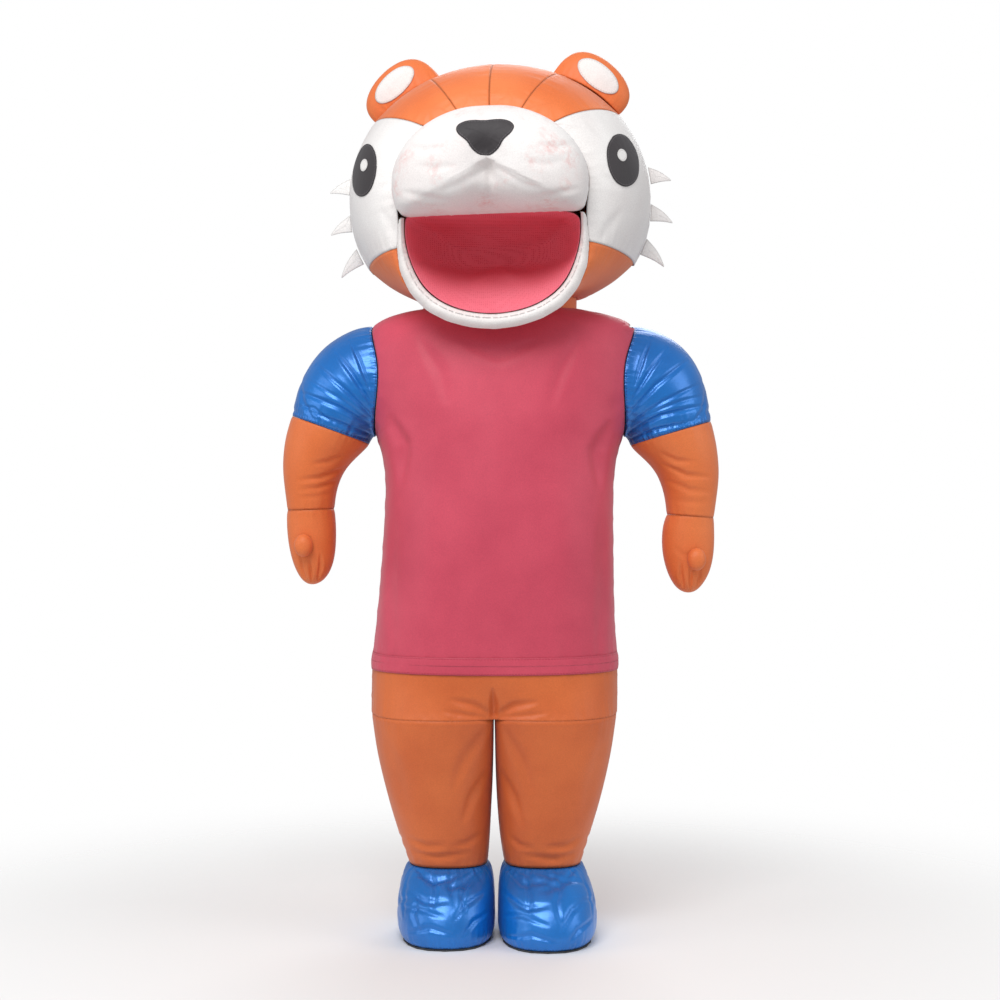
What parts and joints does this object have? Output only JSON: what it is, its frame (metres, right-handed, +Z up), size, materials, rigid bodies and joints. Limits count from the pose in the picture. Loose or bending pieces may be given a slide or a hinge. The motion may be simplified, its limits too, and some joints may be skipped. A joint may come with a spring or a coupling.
{
  "type": "inflatable mascot costume",
  "caption": "Air-filled full body costume of sewn cloth: big cub's head with open mouth, short-sleeved shirt, trunks, mitts and stuffed-looking shoes, with a back zip.",
  "frame": {"origin": "on the floor under the middle of the costume's outline seen from above", "axes": "+Z up, the face towards -Y, the wearer's left towards +X"},
  "size_m": [1.123, 0.853, 2.2465],
  "materials": {
    "orange_cloth": "smooth coated nylon, slight sheen",
    "red_cloth": "smooth coated nylon, slight sheen",
    "blue_satin": "satin",
    "white_cloth": "smooth coated nylon, slight sheen",
    "charcoal_cloth": "matt nylon",
    "mouth_mesh": "matt open mesh",
    "sole_rubber": "matt",
    "zip_metal": "satin",
    "zip_tape": "woven tape"
  },
  "bodies": {
    "suit": {"shirt_front": "red_cloth", "shirt_back_left": "red_cloth", "shirt_back_right": "red_cloth", "hem_band": "red_cloth", "zip_tape_left": "zip_tape", "zip_tape_right": "zip_tape", "zip_slider": "zip_metal", "sleeve_left": "blue_satin", "sleeve_right": "blue_satin", "arm_left": "orange_cloth", "arm_right": "orange_cloth", "hand_left": "orange_cloth", "hand_right": "orange_cloth", "thumb_left": "orange_cloth", "thumb_right": "orange_cloth", "seat_front": "orange_cloth", "seat_back": "orange_cloth", "leg_left": "orange_cloth", "leg_right": "orange_cloth", "shoe_left": "blue_satin", "shoe_right": "blue_satin", "sole_left": "sole_rubber", "sole_right": "sole_rubber", "neck": "orange_cloth", "crown_left": "orange_cloth", "crown_left_side": "orange_cloth", "crown_right": "orange_cloth", "crown_right_side": "orange_cloth", "cheek_left": "white_cloth", "cheek_right": "white_cloth", "head_side_left": "orange_cloth", "head_side_right": "orange_cloth", "head_under": "orange_cloth", "head_back": "orange_cloth", "lip_band": "white_cloth", "muzzle": "white_cloth", "mouth_lining": "mouth_mesh", "nose": "charcoal_cloth", "ear_left": "orange_cloth", "ear_right": "orange_cloth", "ear_inner_left": "white_cloth", "ear_inner_right": "white_cloth", "eye_left": "charcoal_cloth", "eye_right": "charcoal_cloth", "eye_highlight_left": "white_cloth", "eye_highlight_right": "white_cloth", "tuft_left_1": "white_cloth", "tuft_left_2": "white_cloth", "tuft_left_3": "white_cloth", "tuft_right_1": "white_cloth", "tuft_right_2": "white_cloth", "tuft_right_3": "white_cloth"},
    "pull_tab": {"zip_pull": "zip_metal"}
  },
  "joints": [
    {"name": "pull_tab_swing", "type": "hinge", "parent": "suit", "child": "pull_tab", "pos_m": [-0.0025, 0.27349, 1.502], "axis": [1, 0, 0], "range_deg": [0, 150]}
  ]
}
